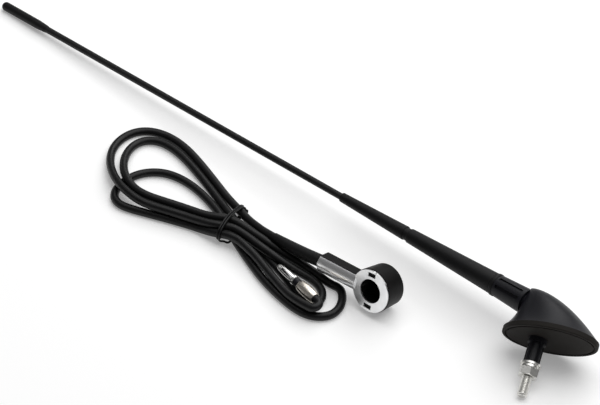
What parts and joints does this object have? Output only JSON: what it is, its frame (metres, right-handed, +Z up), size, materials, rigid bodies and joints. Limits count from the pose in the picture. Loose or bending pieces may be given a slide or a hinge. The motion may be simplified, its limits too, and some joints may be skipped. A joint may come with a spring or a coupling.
{
  "type": "car roof antenna with lead",
  "caption": "Raked whip antenna on a teardrop roof base with a clamp stud, lying beside its coiled coaxial lead with clamp foot and aerial plug.",
  "frame": {"origin": "on the floor under the middle of the antenna and the lead's foot", "axes": "+Z up, +X along the lying mast from its tip towards the base"},
  "size_m": [0.4764, 0.0948, 0.037],
  "materials": {
    "black_abs": "moulded, satin",
    "black_rubber": "moulded, satin",
    "black_pvc": "extruded, satin",
    "zinc_steel": "zinc plated",
    "bright_chrome": "bright plated",
    "brass": "turned"
  },
  "bodies": {
    "base": {"stem": "black_abs", "mast_socket": "brass", "contact_strap": "brass", "housing": "black_abs", "base_plate": "black_abs", "gasket": "black_rubber", "stud": "zinc_steel", "foot_body": "black_abs", "contact_plate": "bright_chrome", "foot_contact": "brass", "cable_boot": "black_rubber", "cable_lead": "black_pvc", "cable_hank": "black_pvc", "cable_tie": "black_pvc", "cable_tail": "black_pvc", "plug_pin": "bright_chrome", "plug_insulator": "black_abs", "plug_shell": "bright_chrome", "plug_seal": "black_rubber"},
    "seal": {"mast_seal": "black_rubber"},
    "mast": {"tip_cap": "black_rubber", "mast_core": "zinc_steel", "rod_sleeve": "black_pvc", "upper_sleeve": "black_rubber", "grip": "black_rubber", "mast_ferrule": "brass"},
    "washers": {"flat_washer": "zinc_steel", "spring_washer": "zinc_steel"},
    "nut": {"hex_nut": "zinc_steel"}
  },
  "joints": [
    {"name": "mast_travel", "type": "slide", "parent": "base", "child": "seal", "axis": [-0.9989, 0, -0.0463], "range_m": [0, 0.009]},
    {"name": "mast_turn", "type": "hinge", "parent": "seal", "child": "mast", "pos_m": [0.18537, 0.02065, 0.0223], "axis": [-0.9989, 0, -0.0463], "range_deg": [0, 4050]},
    {"name": "nut_travel", "type": "slide", "parent": "base", "child": "washers", "axis": [0.382, -0.835, -0.3961], "range_m": [0, 0.01]},
    {"name": "nut_turn", "type": "hinge", "parent": "washers", "child": "nut", "pos_m": [0.20576, 0.00679, 0.01638], "axis": [0.382, -0.835, -0.3961], "range_deg": [0, 3600]}
  ],
  "couplings": [
    {"joint": "mast_turn", "follows": "mast_travel", "rad_per_m": 7854},
    {"joint": "nut_turn", "follows": "nut_travel", "rad_per_m": 6283.2}
  ]
}
